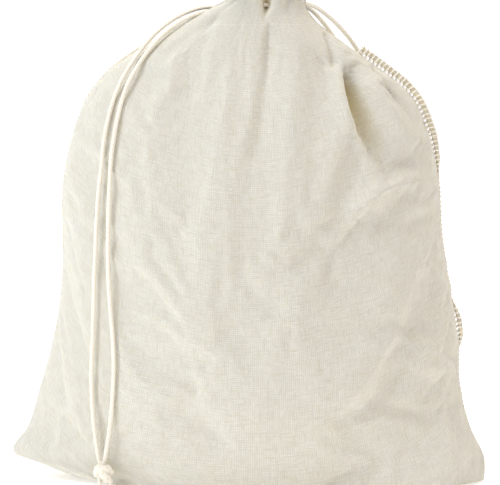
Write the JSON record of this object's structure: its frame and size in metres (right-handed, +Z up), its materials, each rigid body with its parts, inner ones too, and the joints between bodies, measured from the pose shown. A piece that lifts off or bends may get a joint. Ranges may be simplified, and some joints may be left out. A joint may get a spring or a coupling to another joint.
{
  "type": "fabric drawstring gift sack",
  "caption": "Plain woven cotton drawstring gift sack, standing filled with its gathered neck drawn shut by cotton cords knotted at each side.",
  "frame": {"origin": "on the surface the sack stands on, under the middle of the sack's box measured without the hanging cords", "axes": "+X to the right seen from the front, +Y to the back, +Z up towards the drawn neck"},
  "size_m": [0.2428, 0.1126, 0.251],
  "materials": {
    "muslin": "unbleached plain woven cotton, matt, with slubs",
    "cord": "soft spun cotton cord, matt",
    "thread": "white sewing thread, matt"
  },
  "bodies": {
    "root": {"front_panel": "muslin", "back_panel": "muslin", "left_side_seam": "muslin", "right_side_seam": "muslin", "bottom_seam": "muslin", "left_overlock_thread": "thread", "right_overlock_thread": "thread"},
    "front_lip": {"front_casing": "muslin", "front_casing_stitching": "thread", "left_cord_front_run": "cord", "right_cord_front_run": "cord"},
    "back_lip": {"back_casing": "muslin", "back_casing_stitching": "thread", "left_cord_back_run": "cord", "right_cord_back_run": "cord"},
    "left_cord": {"left_cord_front_strand": "cord", "left_cord_back_strand": "cord", "left_knot": "cord", "left_cord_front_tail": "cord", "left_cord_back_tail": "cord"},
    "right_cord": {"right_cord_front_strand": "cord", "right_cord_back_strand": "cord", "right_knot": "cord", "right_cord_front_tail": "cord", "right_cord_back_tail": "cord"}
  },
  "joints": [
    {"name": "mouth_front", "type": "slide", "parent": "root", "child": "front_lip", "axis": [0, -1, 0], "range_m": [0, 0.012]},
    {"name": "mouth_back", "type": "slide", "parent": "root", "child": "back_lip", "axis": [0, 1, 0], "range_m": [0, 0.012]},
    {"name": "left_cord_draw", "type": "slide", "parent": "root", "child": "left_cord", "axis": [0, 0, 1], "range_m": [0, 0.0192], "deforming": ["left_cord_front_strand", "left_cord_back_strand"]},
    {"name": "right_cord_draw", "type": "slide", "parent": "root", "child": "right_cord", "axis": [0, 0, 1], "range_m": [0, 0.0192], "deforming": ["right_cord_front_strand", "right_cord_back_strand"]}
  ],
  "couplings": [
    {"joint": "mouth_back", "follows": "mouth_front", "ratio": 1},
    {"joint": "left_cord_draw", "follows": "mouth_front", "ratio": 1.6},
    {"joint": "right_cord_draw", "follows": "mouth_front", "ratio": 1.6}
  ]
}
